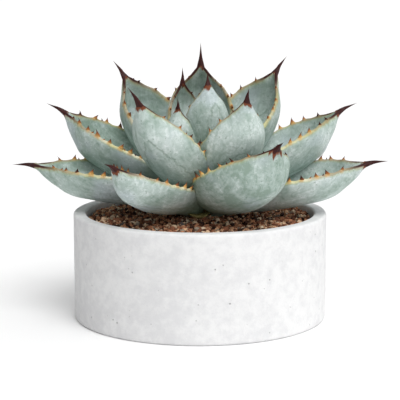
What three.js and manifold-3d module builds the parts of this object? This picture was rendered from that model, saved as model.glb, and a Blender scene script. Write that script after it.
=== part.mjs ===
// A potted agave: a cast concrete bowl, gritty soil, a short stem with its roots, and a rosette of thick,
// cupped leaves that each end in a long spine. Every leaf is a solid of its own, seated on the stem.
// Millimetres, +Z up. The origin is the centre of the bowl's underside, on the rosette's axis.

import * as THREE from "three";
import { mergeVertices } from "three/addons/utils/BufferGeometryUtils.js";
import Module from "manifold-3d";

const wasm = await Module();
wasm.setup();

// ---- Driving dimensions ------------------------------------------------------------------------

const gap = 0.3; // left between any two pieces that touch
const bowl = {
  radius: 125,
  height: 105,
  wall: 12.5,
  floor: 14,
  rimRound: 2.5,
  footRound: 3,
  innerFillet: 8,
  drainRadius: 9,
  segments: 60,
};
const soil = { belowRim: 7.5, mound: 3, moundRadius: 50, segments: 36 };
const stem = { radius: 17, top: 52, shoulder: 26, crownDepth: 30, segments: 16 };
const roots = { count: 6, length: 62, drop: 34, radius: 4, sides: 5, steps: 4 };
const bud = { radius: 9, height: 64, segments: 12 };
const dryBase = { length: 34, width: 24, thickness: 4.8, distance: 27, tilt: 8, around: 8, rows: 6 };
const leafMesh = { bladeRows: 9, spineRows: 2, around: 10 };

// ---- Worked out from them ----------------------------------------------------------------------

const cavityRadius = bowl.radius - bowl.wall;
const soilTop = bowl.height - soil.belowRim;
const soilRadius = cavityRadius - gap;
const soilBottom = bowl.floor + gap;
const crown = soilTop + soil.mound; // where the stem comes out of the soil

// ---- Leaves ------------------------------------------------------------------------------------
// azimuth: the way the leaf points, in degrees from +X towards +Y. seat: height of its base above the
// crown. reach: how far the spine's tip is from the axis. rise: how far the tip is above the crown.
// width: across the widest part, margin to margin. bow: how far the leaf bellies outwards from a
// straight line. swing: how far it bends sideways, anticlockwise from above. roll: how far its outer
// half is turned about its own length, in degrees, lifting the anticlockwise margin. cup: how deep its
// section is, as a share of its half width. spine: the length of its spine.
// From the outside of the rosette to its heart, so a leaf is cut to fit round those after it.

const leaf = (name, azimuth, seat, reach, rise, width, bow, swing, roll, cup, spine) => {
  return { name, azimuth, seat, reach, rise, width, bow, swing, roll, cup, spine };
};

const leaves = [
  leaf("outer_leaf_left", 183, 26, 185, 52, 67, -8, 0, -5, 0.84, 24),
  leaf("outer_leaf_front_left", 236, 21, 155, 70, 62, 0, 0, -8, 0.84, 18),
  leaf("outer_leaf_front_right", 303, 30, 139, 88, 84, 5, 0, 0, 0.8, 14),
  leaf("outer_leaf_right", 352, 20, 185.5, 58, 69, -6, 0, 8, 0.84, 24),
  leaf("outer_leaf_back_right", 46, 26, 170, 55, 64, -4, 3, 4, 0.84, 24),
  leaf("outer_leaf_back", 92, 26, 129, 60, 64, 0, -4, 0, 0.84, 22),
  leaf("outer_leaf_back_left", 137, 26, 170, 55, 64, -4, -3, -4, 0.84, 24),
  leaf("middle_leaf_left", 167, 36, 159, 108, 72, -3, 0, -2, 0.9, 24),
  leaf("middle_leaf_front_left", 236, 34, 119, 137, 65, 7, 10, 0, 0.72, 23),
  leaf("middle_leaf_front_right", 300, 34, 91, 134, 64, 9, 2, 0, 0.8, 16),
  leaf("middle_leaf_right", 11, 36, 161, 109, 74, -3, 0, 1, 0.9, 24),
  leaf("middle_leaf_back_right", 68, 36, 124, 90, 62, 4, 0, 0, 0.84, 23),
  leaf("middle_leaf_back_left", 114, 36, 124, 90, 62, 4, 0, 0, 0.84, 23),
  leaf("upper_leaf_left", 143, 42, 112, 149, 61, -2, 0, -14, 1.25, 25),
  leaf("upper_leaf_right", 39, 42, 115, 153, 61, -2, 0, 14, 1.25, 25),
  leaf("upper_leaf_back", 89, 44, 42, 169, 64, 8, 0, 0, 0.84, 26),
  leaf("inner_leaf_front", 287, 46, 25, 144, 43, 6, 0, 0, 0.84, 13),
  leaf("inner_leaf_front_left", 231, 48, 34, 119, 38, 6, 0, 0, 0.84, 11),
  leaf("inner_leaf_back_left", 122, 48, 33, 145, 40, 6, 0, 0, 0.84, 17),
  leaf("inner_leaf_right", 15, 48, 38, 97, 34, 6, 0, 0, 0.84, 15),
];

// What is left of leaves that have been shed: short dry scales round the foot of the stem. The number
// is the way each one points, as an azimuth.
const dryBases = [268, 333, 207, 22, 69, 115, 160];

const fullWidth = 64; // a grown leaf's width, which the thicknesses below belong to
const seatRadius = 6; // where a leaf's middle line starts, inside the stem
const spine = { radius: 3.1, taper: 1.3 };
const sectionAngle = (75 * Math.PI) / 180; // half the arc that a leaf's section partly follows
const keel = { share: 0.45, roundness: 0.3 }; // the rest of the section is a V with a rounded bottom

// Each outline is [place along the blade, value], from the leaf's base at 0 to the foot of its spine at 1.
// Half widths are shares of the leaf's greatest one, and thicknesses are millimetres of a grown leaf.
const halfWidthOutline = [
  [0, 0.6],
  [0.16, 0.68],
  [0.32, 0.87],
  [0.5, 1],
  [0.65, 0.95],
  [0.8, 0.71],
  [0.92, 0.31],
  [1, 0.1],
];
const thicknessOutline = [[0, 14], [0.2, 12.5], [0.5, 9.5], [0.8, 7.5], [1, 6.2]];
const cupOutline = [[0, 1], [0.6, 1], [0.85, 1.25], [0.95, 1.4], [1, 0.6]];

// A smooth line through the points of an outline, level with them at each point's own slope.
function along(outline, place) {
  const last = outline.length - 1;
  let i = 0;
  while (i < last - 1 && place > outline[i + 1][0]) i++;
  const slope = (k) => {
    const before = outline[Math.max(k - 1, 0)];
    const after = outline[Math.min(k + 1, last)];
    return (after[1] - before[1]) / (after[0] - before[0]);
  };
  const [x0, y0] = outline[i];
  const [x1, y1] = outline[i + 1];
  const span = x1 - x0;
  const t = (place - x0) / span;
  const s = 1 - t;
  const ends = y0 * (1 + 2 * t) * s * s + y1 * (1 + 2 * s) * t * t;
  const slopes = slope(i) * t * s * s - slope(i + 1) * t * t * s;
  return Math.max(ends + slopes * span, 0);
}

// The middle line of a leaf, from inside the stem to the tip of the spine.
function middleLine(leaf) {
  const angle = (leaf.azimuth * Math.PI) / 180;
  const outwards = new THREE.Vector3(Math.cos(angle), Math.sin(angle), 0);
  const point = (radius, height) => outwards.clone().multiplyScalar(radius).setZ(crown + height);
  const dr = leaf.reach - seatRadius;
  const dz = leaf.rise - leaf.seat;
  const length = Math.hypot(dr, dz);
  const belly = (2 * leaf.bow) / length;
  const control = point(seatRadius + dr / 2 + dz * belly, leaf.seat + dz / 2 - dr * belly);
  control.add(new THREE.Vector3(-Math.sin(angle), Math.cos(angle), 0).multiplyScalar(2 * leaf.swing));
  return new THREE.QuadraticBezierCurve3(point(seatRadius, leaf.seat), control, point(leaf.reach, leaf.rise));
}

// A point of a leaf's cupped section: across runs from -1 to 1 along it, from margin to margin, off is how
// far the point lies from that line, towards the cupped face, and beyond how far it is pushed along it.
function sectionPoint(across, halfWidth, cup, off, beyond) {
  const turn = across * sectionAngle;
  const rise = 1 - Math.cos(sectionAngle);
  const atMargin = Math.hypot(1, keel.roundness);
  const atPlace = Math.hypot(across, keel.roundness);
  const arc = (Math.cos(turn) - Math.cos(sectionAngle)) / rise;
  const vee = (atMargin - atPlace) / (atMargin - keel.roundness);
  const arcSlope = (-sectionAngle * Math.sin(turn)) / rise;
  const veeSlope = -across / atPlace / (atMargin - keel.roundness);
  const depth = arc * (1 - keel.share) + vee * keel.share;
  const depthSlope = arcSlope * (1 - keel.share) + veeSlope * keel.share;
  const tangent = new THREE.Vector2(
    (halfWidth * sectionAngle * Math.cos(turn)) / Math.sin(sectionAngle),
    -cup * depthSlope,
  ).normalize();
  return new THREE.Vector2((halfWidth * Math.sin(turn)) / Math.sin(sectionAngle), -cup * depth)
    .addScaledVector(tangent, beyond)
    .addScaledVector(new THREE.Vector2(-tangent.y, tangent.x), off);
}

// A leaf is a ball whose rings of longitude become sections along its middle line: the ball's upper half
// is the cupped face and its lower half the rounded back. grow makes it thicker all round.
function leafGeometry(leaf, grow = 0) {
  const angle = (leaf.azimuth * Math.PI) / 180;
  const sideways = new THREE.Vector3(-Math.sin(angle), Math.cos(angle), 0);
  const line = middleLine(leaf);
  const bladeShare = 1 - leaf.spine / line.getLength();
  const size = leaf.width / fullWidth;
  const spineRadius = spine.radius * Math.sqrt(size);
  const lastRow = leafMesh.bladeRows + leafMesh.spineRows + 1;
  const geometry = new THREE.SphereGeometry(1, leafMesh.around, lastRow);
  const position = geometry.getAttribute("position");
  for (let i = 0; i < position.count; i++) {
    const latitude = Math.acos(THREE.MathUtils.clamp(position.getY(i), -1, 1));
    const row = Math.round((latitude / Math.PI) * lastRow);
    const pole = row === 0 || row === lastRow;
    const turn = Math.atan2(position.getZ(i), position.getX(i));
    const onBlade = THREE.MathUtils.clamp((row - 1) / leafMesh.bladeRows, 0, 1);
    const onSpine = Math.max(row - 1 - leafMesh.bladeRows, 0) / leafMesh.spineRows;
    const place = onBlade * bladeShare + onSpine * (1 - bladeShare);

    const bladeHalfWidth = (along(halfWidthOutline, onBlade) * leaf.width) / 2;
    const spineHalfWidth = spineRadius * (1 - onSpine) ** spine.taper;
    const halfWidth = onSpine > 0 ? spineHalfWidth : Math.max(bladeHalfWidth, spineRadius);
    const thickness = Math.min(along(thicknessOutline, onBlade) * size, 1.9 * halfWidth);
    const cup = onSpine > 0 ? 0 : along(cupOutline, onBlade) * leaf.cup * halfWidth;

    const across = pole ? 0 : Math.cos(turn);
    const round = Math.abs(Math.sin(turn));
    const half = pole ? 0 : (thickness * (0.3 * round + 0.7 * round * round)) / 2 + grow * round;
    const section = sectionPoint(across, halfWidth, cup, Math.sign(Math.sin(turn)) * half, grow * across);

    const forwards = line.getTangentAt(place);
    const upwards = new THREE.Vector3().crossVectors(forwards, sideways).normalize();
    const roll = ((leaf.roll * Math.PI) / 180) * THREE.MathUtils.smoothstep(place, 0, 0.7);
    const lengthwise = row === lastRow ? grow : row <= 1 ? -grow : 0;
    const point = line
      .getPointAt(place)
      .addScaledVector(sideways.clone().applyAxisAngle(forwards, roll), section.x)
      .addScaledVector(upwards.applyAxisAngle(forwards, roll), section.y)
      .addScaledVector(forwards, lengthwise);
    position.setXYZ(i, point.x, point.y, point.z);
  }
  return geometry;
}

// A dry leaf base: a flat, rounded scale that starts inside the stem and tips up off the soil.
function dryBaseGeometry(azimuth, grow = 0) {
  const tilt = (dryBase.tilt * Math.PI) / 180;
  const lift = (dryBase.thickness + dryBase.length * Math.sin(tilt)) / 2;
  return new THREE.SphereGeometry(1, dryBase.around, dryBase.rows)
    .rotateX(Math.PI / 2)
    .scale(dryBase.length / 2 + grow, dryBase.width / 2 + grow, dryBase.thickness / 2 + grow)
    .rotateY(-tilt)
    .translate(dryBase.distance, 0, crown + gap + lift)
    .rotateZ((azimuth * Math.PI) / 180);
}

// ---- Solids ------------------------------------------------------------------------------------

// A closed geometry as a solid that can be cut and joined.
function solidOf(geometry) {
  const bare = geometry.index ? geometry.toNonIndexed() : geometry.clone();
  for (const name of Object.keys(bare.attributes)) if (name !== "position") bare.deleteAttribute(name);
  const merged = mergeVertices(bare, 1e-3);
  const mesh = new wasm.Mesh({
    numProp: 3,
    vertProperties: new Float32Array(merged.attributes.position.array),
    triVerts: new Uint32Array(merged.index.array),
  });
  return new wasm.Manifold(mesh);
}

// The solid's vertices and triangles as a geometry again.
function geometryOf(solid) {
  const { vertProperties, triVerts } = solid.getMesh();
  return new THREE.BufferGeometry()
    .setAttribute("position", new THREE.BufferAttribute(vertProperties, 3))
    .setIndex(new THREE.BufferAttribute(triVerts, 1));
}

// The largest piece of a solid, without the crumbs that a cut can leave.
function largest(solid) {
  return solid.decompose().reduce((a, b) => (a.volume() > b.volume() ? a : b));
}

// A profile of [radius, height] points turned about the Z axis.
function turned(profile, segments) {
  const points = profile.map(([radius, height]) => new THREE.Vector2(radius, height));
  return new THREE.LatheGeometry(points, segments).rotateX(Math.PI / 2);
}

// A quarter circle of profile points about a centre, from one angle to another in degrees.
function quarter(radius, height, size, from, to, steps = 4) {
  return Array.from({ length: steps + 1 }, (_, i) => {
    const angle = ((from + ((to - from) * i) / steps) * Math.PI) / 180;
    return [radius + size * Math.cos(angle), height + size * Math.sin(angle)];
  });
}

function bowlGeometry() {
  const { radius, height, floor, rimRound, footRound, innerFillet, drainRadius } = bowl;
  const profile = [
    [drainRadius, 0],
    ...quarter(radius - footRound, footRound, footRound, -90, 0),
    ...quarter(radius - rimRound, height - rimRound, rimRound, 0, 90),
    ...quarter(cavityRadius + rimRound, height - rimRound, rimRound, 90, 180),
    ...quarter(cavityRadius - innerFillet, floor + innerFillet, innerFillet, 0, -90),
    [drainRadius, floor],
    [drainRadius, 0],
  ];
  return turned(profile, bowl.segments);
}

function stemSolid(grow = 0) {
  const r = stem.radius + grow;
  const top = crown + stem.top + grow;
  const profile = [
    [0, crown - stem.crownDepth - grow],
    [r * 0.55, crown - stem.crownDepth - grow],
    [r * 0.95, crown - stem.crownDepth / 2],
    [r, crown],
    [r, crown + stem.shoulder],
    [r * 0.6, top - 4],
    [r * 0.35, top],
    [0, top],
  ];
  return solidOf(turned(profile, stem.segments));
}

// One root: a tapering tube from inside the crown, outwards and down through the soil.
function rootSolid(index, grow = 0) {
  const angle = (index * 2 * Math.PI) / roots.count;
  const length = roots.length * (index % 2 ? 1 : 0.8);
  const start = crown - stem.crownDepth * 0.6;
  const outwards = new THREE.Vector3(Math.cos(angle), Math.sin(angle), 0);
  const at = (share, drop) => outwards.clone().multiplyScalar(length * share).setZ(start - drop * roots.drop);
  const path = new THREE.CatmullRomCurve3([at(0.1, 0), at(0.45, 0.15), at(0.8, 0.55), at(1, 1)]);
  const section = new THREE.Shape(
    Array.from({ length: roots.sides }, (_, i) => {
      const turn = (i * 2 * Math.PI) / roots.sides;
      return new THREE.Vector2(Math.cos(turn), Math.sin(turn)).multiplyScalar(roots.radius + grow);
    }),
  );
  return solidOf(new THREE.ExtrudeGeometry(section, { steps: roots.steps, extrudePath: path }));
}

// The stem with its roots, thicker all round by grow.
function stemAndRoots(grow = 0) {
  let solid = stemSolid(grow);
  for (let i = 0; i < roots.count; i++) solid = solid.add(rootSolid(i, grow));
  return solid;
}

function soilSolid() {
  const fillet = bowl.innerFillet;
  const profile = [
    [0, soilBottom],
    ...quarter(soilRadius - fillet, soilBottom + fillet, fillet, -90, 0),
    [soilRadius, soilTop],
    [soil.moundRadius, soilTop + soil.mound * 0.4],
    [stem.radius * 1.5, crown],
    [0, crown],
  ];
  return solidOf(turned(profile, soil.segments)).subtract(stemAndRoots(gap));
}

// The youngest leaves, still wrapped round each other in a point.
function budSolid(grow = 0) {
  const bottom = crown + stem.top + gap - grow;
  const r = bud.radius + grow;
  const profile = [
    [0, bottom],
    [stem.radius * 0.35 + grow, bottom],
    [r, bottom + bud.height * 0.3],
    [r * 0.8, bottom + bud.height * 0.6],
    [r * 0.3, bottom + bud.height * 0.88],
    [0, bottom + bud.height + grow],
  ];
  return solidOf(turned(profile, bud.segments));
}

// Each leaf, cut back from the stem and from every leaf nearer the heart than itself, and then the dry
// leaf bases, cut back from the stem, the leaves and each other.
function leafSolids() {
  const inside = [stemAndRoots(gap), budSolid(gap)];
  const clear = (solid) => largest(inside.reduce((rest, cutter) => rest.subtract(cutter), solid));
  const made = [];
  for (const leaf of [...leaves].reverse()) {
    made.push({ name: leaf.name, solid: clear(solidOf(leafGeometry(leaf))), material: leafSkin });
    inside.push(solidOf(leafGeometry(leaf, gap)));
  }
  dryBases.forEach((azimuth, i) => {
    const name = `dry_leaf_base_${i + 1}`;
    made.push({ name, solid: clear(solidOf(dryBaseGeometry(azimuth))), material: straw });
    inside.push(solidOf(dryBaseGeometry(azimuth, gap)));
  });
  return made;
}

// ---- The scene graph ---------------------------------------------------------------------------

const concrete = new THREE.MeshStandardMaterial({ color: 0xe9e9ea, roughness: 0.85, metalness: 0 });
const grit = new THREE.MeshStandardMaterial({ color: 0x5f3d2c, roughness: 0.95, metalness: 0 });
const bark = new THREE.MeshStandardMaterial({ color: 0x8a7a52, roughness: 0.9, metalness: 0 });
const leafSkin = new THREE.MeshStandardMaterial({ color: 0x9db4ae, roughness: 0.6, metalness: 0 });

const straw = new THREE.MeshStandardMaterial({ color: 0xa9a05c, roughness: 0.8, metalness: 0 });

const agave = new THREE.Group();

function add(name, geometry, material) {
  const mesh = new THREE.Mesh(geometry, material);
  mesh.name = name;
  agave.add(mesh);
}

add("bowl", bowlGeometry(), concrete);
add("soil", geometryOf(soilSolid()), grit);
add("stem_and_roots", geometryOf(stemAndRoots()), bark);
add("bud", geometryOf(budSolid()), leafSkin);
for (const { name, solid, material } of leafSolids()) add(name, geometryOf(solid), material);

export default agave;
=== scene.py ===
# %% [markdown]
# # A potted agave
#
# A low round bowl of cast concrete, a bed of coarse gritty soil and an old, compact agave: a rosette of
# thick cupped leaves with a waxy blue-grey bloom, horny teeth along both margins and one long dark spine
# at the end of each leaf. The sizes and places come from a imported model, the frame, which this lesson
# dresses. Each visible piece of the frame is replaced by a finer one that fills the same space, and each
# gets a procedural material. Everything is in metres, with +Z up and the viewer on the -Y side.

# %% Load the frame
import math
import random

import bmesh
import bpy
from mathutils import Matrix, Vector, noise
from mathutils.bvhtree import BVHTree


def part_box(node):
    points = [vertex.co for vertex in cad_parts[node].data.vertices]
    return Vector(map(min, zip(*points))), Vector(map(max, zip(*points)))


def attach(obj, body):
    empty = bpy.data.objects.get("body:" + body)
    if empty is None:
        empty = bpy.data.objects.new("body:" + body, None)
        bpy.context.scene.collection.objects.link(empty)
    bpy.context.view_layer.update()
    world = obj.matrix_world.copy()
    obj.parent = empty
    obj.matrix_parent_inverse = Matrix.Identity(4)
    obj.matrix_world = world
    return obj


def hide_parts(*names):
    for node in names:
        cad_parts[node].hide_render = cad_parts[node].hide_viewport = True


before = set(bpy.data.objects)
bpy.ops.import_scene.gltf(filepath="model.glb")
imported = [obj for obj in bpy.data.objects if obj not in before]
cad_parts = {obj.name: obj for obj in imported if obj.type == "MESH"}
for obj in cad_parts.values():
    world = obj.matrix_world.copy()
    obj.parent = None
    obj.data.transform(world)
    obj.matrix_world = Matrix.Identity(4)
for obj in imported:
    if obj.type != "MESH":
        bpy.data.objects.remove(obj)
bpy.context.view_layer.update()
print("frame nodes:", len(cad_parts))

# %% [markdown]
# ## Three small helpers for materials
#
# A material is a graph of nodes. Written out by hand, even a sum of two numbers takes several lines, so
# one small class wraps a socket and gives it the usual operators, and each of those adds a Math node. A
# second class holds the graph, and its one method `node` adds any other kind of node: first its settings,
# then the values or links of its sockets. The third is a material, with the few patterns used below.

# %% Colours
def linear(level):
    return level / 12.92 if level < 0.04 else ((level + 0.055) / 1.055) ** 2.4


def paint(*channels):
    """Red, green and blue as a screen shows them, from 0 to 255, in the linear light of materials."""
    return tuple(linear(channel / 255) for channel in channels)


print("mid grey in linear light:", [round(c, 3) for c in paint(128, 128, 128)])


# %% Arithmetic on sockets
class Value:
    """A socket of a graph, with arithmetic that adds Math nodes."""

    def __init__(self, graph, socket):
        self.graph, self.socket = graph, socket

    def math(self, operation, *others):
        return self.graph.node("Math", {"operation": operation}, dict(enumerate([self, *others])))

    def __add__(self, other):
        return self.math("ADD", other)

    def __mul__(self, other):
        return self.math("MULTIPLY", other)

    def __sub__(self, other):
        return self.math("SUBTRACT", other)

    def __rsub__(self, other):
        return self.math("MULTIPLY_ADD", -1.0, other)

    __radd__ = __add__
    __rmul__ = __mul__

    def most(self, other):
        return self.math("MAXIMUM", other)

    def size(self):
        return self.math("ABSOLUTE")


# %% A graph of nodes
class Graph:
    """The nodes of a material or a world."""

    def __init__(self, tree):
        self.tree = tree

    def node(self, kind, settings=None, inputs=None, output=0):
        made = self.tree.nodes.new("ShaderNode" + kind)
        for name, value in (settings or {}).items():
            if name == "stops":
                self.set_stops(made.color_ramp, value)
            else:
                setattr(made, name, value)
        for name, value in (inputs or {}).items():
            self.feed(made.inputs[name], value)
        return Value(self, made.outputs[output])

    def set_stops(self, ramp, stops):
        while len(ramp.elements) < len(stops):
            ramp.elements.new(0.5)
        for element, (place, colour) in zip(ramp.elements, stops):
            element.position = place
            element.color = (*colour, 1.0)

    def feed(self, socket, value):
        if isinstance(value, Value):
            self.tree.links.new(value.socket, socket)
        else:
            socket.default_value = (*value, 1.0) if socket.type == "RGBA" and len(value) == 3 else value


# %% A material under construction
class Finish(Graph):
    """A material: its one shader, and the nodes that feed it."""

    def __init__(self, name, **sockets):
        self.material = bpy.data.materials.new(name)
        self.material.use_nodes = True
        super().__init__(self.material.node_tree)
        self.shader = next(n for n in self.tree.nodes if n.type == "BSDF_PRINCIPLED")
        self.use(**sockets)

    def use(self, **sockets):
        for name, value in sockets.items():
            self.feed(self.shader.inputs[name.replace("_", " ")], value)
        return self.material

    def blend(self, share, a, b):
        """Colour a, going over to colour b as share goes from 0 to 1."""
        settings = {"data_type": "RGBA", "clamp_factor": True}
        return self.node("Mix", settings, {0: share, 6: a, 7: b}, output=2)

    def attribute(self, name, output="Fac"):
        return self.node("Attribute", {"attribute_name": name}, output=output)

    def place(self, scale=(1.0, 1.0, 1.0), of=None):
        """The point on the object, or another vector, stretched by a scale along each axis."""
        of = of or self.node("TexCoord", output="Object")
        return self.node("Mapping", {}, {"Vector": of, "Scale": scale})

    def noise(self, scale, detail, roughness, at=None, distortion=0.0):
        inputs = {"Scale": scale, "Detail": detail, "Roughness": roughness, "Distortion": distortion}
        return self.node("TexNoise", {}, {"Vector": at or self.place(), **inputs})

    def rise(self, value, low, high):
        """0 below low, 1 above high and smooth between them; the other way round if low is the greater."""
        if low > high:
            return 1.0 - self.rise(value, high, low)
        settings = {"interpolation_type": "SMOOTHSTEP", "clamp": True}
        return self.node("MapRange", settings, {"Value": value, "From Min": low, "From Max": high})

    def bump(self, height, distance, strength):
        return self.node("Bump", {}, {"Height": height, "Distance": distance, "Strength": strength})


# %% [markdown]
# ## A helper that finishes a piece
#
# Every piece ends the same way: its bmesh becomes an object that sits at the origin with its place in its
# mesh, gets its material, rides on the frame's one body and stands for its node of the frame. The box of
# the new piece is compared with the node's, and the largest difference is printed, because a finer piece
# still has to fill the same space.

# %% Finishing a piece
def smoothed(bm):
    for face in bm.faces:
        face.smooth = True


def finish_piece(name, bm, material, node=None):
    mesh = bpy.data.meshes.new(name)
    bm.to_mesh(mesh)
    bm.free()
    piece = bpy.data.objects.new(name, mesh)
    bpy.context.scene.collection.objects.link(piece)
    mesh.materials.append(material)
    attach(piece, "root")
    print(f"{name}: {len(mesh.polygons)} faces")
    if node:
        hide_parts(node)
        low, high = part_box(node)
        corners = [Vector(corner) for corner in piece.bound_box]
        mine = [Vector(map(pick, *corners)) for pick in (min, max)]
        off = max(abs(x) for x in [*(mine[0] - low), *(mine[1] - high)])
        print(f"    off the box of {node} by at most {off * 1000:.1f} mm")


# %% [markdown]
# ## The camera, the floor and the light
#
# The camera stands nearly level with the top of the plant, far back with a long lens, so that the bowl is
# hardly foreshortened. The floor is plain and pale. The light is a pale sky all round, brighter to the
# right, and one large soft lamp high in front. They leave the left of the bowl in a mild shade.

# %% Camera
CAMERA_PLACE = (0.0, -1.452, 0.3635)
CAMERA_PITCH = math.radians(9.684)
LENS, SENSOR_WIDTH, FURTHEST_SEEN = 133.8, 36.0, 50.0

camera_data = bpy.data.cameras.new("camera")
camera_data.lens = LENS
camera_data.sensor_width = SENSOR_WIDTH
camera_data.clip_end = FURTHEST_SEEN
camera = bpy.data.objects.new("camera", camera_data)
camera.location = CAMERA_PLACE
camera.rotation_euler = (math.pi / 2 - CAMERA_PITCH, 0.0, 0.0)
bpy.context.scene.collection.objects.link(camera)
bpy.context.scene.camera = camera
print("camera at", CAMERA_PLACE)

# %% Floor, sky and lamp
FLOOR_HALF_WIDTH, FLOOR_PALENESS = 12.0, (0.94, 0.94, 0.94)
LAMP_DISTANCE = 3.0


def towards(azimuth, elevation):
    """A direction from two angles in degrees: azimuth from +X towards +Y, elevation above the floor."""
    turn, climb = math.radians(azimuth), math.radians(elevation)
    return Vector((math.cos(climb) * math.cos(turn), math.cos(climb) * math.sin(turn), math.sin(climb)))


def sun_light(name, direction, softness, strength):
    """A lamp far away in that direction, as wide in degrees as its softness."""
    data = bpy.data.lights.new(name, "SUN")
    data.energy, data.angle = strength, math.radians(softness)
    lamp = bpy.data.objects.new(name, data)
    lamp.location = direction * LAMP_DISTANCE
    lamp.rotation_euler = direction.to_track_quat("Z", "Y").to_euler()
    bpy.context.scene.collection.objects.link(lamp)


def make_floor():
    bm = bmesh.new()
    bmesh.ops.create_grid(bm, x_segments=1, y_segments=1, size=FLOOR_HALF_WIDTH)
    mesh = bpy.data.meshes.new("floor")
    bm.to_mesh(mesh)
    bm.free()
    floor = bpy.data.objects.new("floor", mesh)
    bpy.context.scene.collection.objects.link(floor)
    mesh.materials.append(Finish("floor_paint", Base_Color=FLOOR_PALENESS, Roughness=0.9).material)


def make_sky(strength, bright_side, lean):
    """A pale sky, brighter by the share lean towards its bright side and darker away from it."""
    world = bpy.data.worlds.new("sky")
    world.use_nodes = True
    sky, background = Graph(world.node_tree), world.node_tree.nodes["Background"]
    direction = sky.node("TexCoord", output="Generated")
    ends = {0: direction, 1: bright_side}
    slope = sky.node("VectorMath", {"operation": "DOT_PRODUCT"}, ends, output="Value")
    sky.feed(background.inputs["Strength"], slope * (strength * lean) + strength)
    sky.feed(background.inputs["Color"], (1.0, 1.0, 1.0))
    bpy.context.scene.world = world


make_floor()
make_sky(0.54, towards(azimuth=-8, elevation=22), lean=0.95)
sun_light("key", towards(azimuth=-68, elevation=56), softness=40, strength=1.8)
bpy.context.scene.view_settings.view_transform = "Standard"
print("lights:", [light.name for light in bpy.data.lights], "and the sky")

# %% [markdown]
# ## The bowl
#
# The bowl was cast upside down between two round moulds, so it is a body of revolution: a flat underside
# with a drain hole, a straight wall, a rim with worn edges and a hollow with a rounded bottom. Its outline
# needs six corners. Bevelling the corners of that flat outline rounds them, and one spin makes the body.
# The straight stretches are divided first, so that the wall can wander by a fraction of a millimetre, as
# a hand-finished casting does.

# %% Bowl sizes
bowl_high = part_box("bowl")[1]
BOWL_RADIUS, BOWL_HEIGHT = bowl_high.x, bowl_high.z
WALL, BOWL_FLOOR, DRAIN_RADIUS = 0.0125, 0.014, 0.009
ROUNDING_STEPS = 6
RIM_ROUND, FOOT_ROUND, INNER_FILLET, DRAIN_ROUND = 0.0025, 0.003, 0.008, 0.0008
CAVITY_RADIUS = BOWL_RADIUS - WALL
print(f"bowl: {BOWL_RADIUS * 2000:.0f} mm across and {BOWL_HEIGHT * 1000:.0f} mm high")


# %% An outline, rounded and spun
SEAM = 0.000001


def outline_bmesh(corners, closed):
    """A bmesh that holds only an outline, in the plane of X and Z."""
    bm = bmesh.new()
    points = [bm.verts.new((radius, 0, height)) for radius, height, _ in corners]
    for a, b in zip(points, points[1:] + points[:1] if closed else points[1:]):
        bm.edges.new((a, b))
    for point, (_, _, rounding) in zip(points, corners):
        if rounding:
            bmesh.ops.bevel(
                bm, geom=[point], offset=rounding, affect="VERTICES", segments=ROUNDING_STEPS, profile=0.5,
                material=-1,
            )
    return bm


def divide_long_edges(bm, longest):
    for edge in [e for e in bm.edges if e.calc_length() > longest]:
        bmesh.ops.subdivide_edges(bm, edges=[edge], cuts=int(edge.calc_length() / longest))


def spin_outline(bm, steps):
    """Spins the outline right round, closes the seam and the poles, and turns the faces outwards."""
    bmesh.ops.spin(
        bm, geom=bm.verts[:] + bm.edges[:], axis=(0, 0, 1), cent=(0, 0, 0), angle=math.tau, steps=steps,
        use_merge=True,
    )
    bmesh.ops.remove_doubles(bm, verts=bm.verts, dist=SEAM)
    bmesh.ops.recalc_face_normals(bm, faces=bm.faces)


# %% The bowl's body
BOWL_STEPS, BOWL_ROW = 192, 0.004
CASTING_WANDER, WANDERS_PER_METRE = 0.00022, 45.0


def bowl_body():
    bm = outline_bmesh([
        (DRAIN_RADIUS, 0.0, DRAIN_ROUND),
        (BOWL_RADIUS, 0.0, FOOT_ROUND),
        (BOWL_RADIUS, BOWL_HEIGHT, RIM_ROUND),
        (CAVITY_RADIUS, BOWL_HEIGHT, RIM_ROUND),
        (CAVITY_RADIUS, BOWL_FLOOR, INNER_FILLET),
        (DRAIN_RADIUS, BOWL_FLOOR, DRAIN_ROUND),
    ], closed=True)
    divide_long_edges(bm, BOWL_ROW)
    spin_outline(bm, BOWL_STEPS)
    for vertex in bm.verts:
        if vertex.co.z > FOOT_ROUND:
            wander = noise.noise(vertex.co * WANDERS_PER_METRE) * CASTING_WANDER
            vertex.co += vertex.co.normalized() * wander
    smoothed(bm)
    return bm


# %% [markdown]
# Cast concrete is matt and nearly white, with faint cloudy patches, a fine grain of sand and here and
# there a small pit where an air bubble sat against the mould. Pits come from a Voronoi pattern, of which
# only a few cells are let through.

# %% Concrete
def concrete():
    finish = Finish("concrete", Specular_IOR_Level=0.25)
    clouds = finish.noise(14.0, 4.0, 0.6)
    blotches = finish.noise(105.0, 4.0, 0.65)
    sand = finish.noise(900.0, 2.0, 0.7)
    specks = finish.node("TexVoronoi", {}, {"Vector": finish.place(), "Scale": 140.0, "Randomness": 1.0})
    chosen = finish.rise(finish.noise(60.0, 2.0, 0.5), 0.56, 0.62)
    pits = finish.rise(specks, 0.16, 0.08) * chosen
    tone = finish.rise(clouds * 0.4 + blotches * 0.6, 0.38, 0.62)
    colour = finish.blend(tone, paint(214, 214, 215), paint(226, 226, 226))
    colour = finish.blend(finish.rise(sand, 0.6, 0.75) * 0.25, colour, paint(190, 190, 192))
    colour = finish.blend(pits * 0.55, colour, paint(140, 139, 140))
    height = blotches * 0.35 + sand * 0.25 - pits * 1.2
    return finish.use(
        Base_Color=colour, Roughness=0.85 - tone * 0.1, Normal=finish.bump(height, 0.0007, 0.7),
    )


finish_piece("bowl_cast", bowl_body(), concrete(), "bowl")

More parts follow.
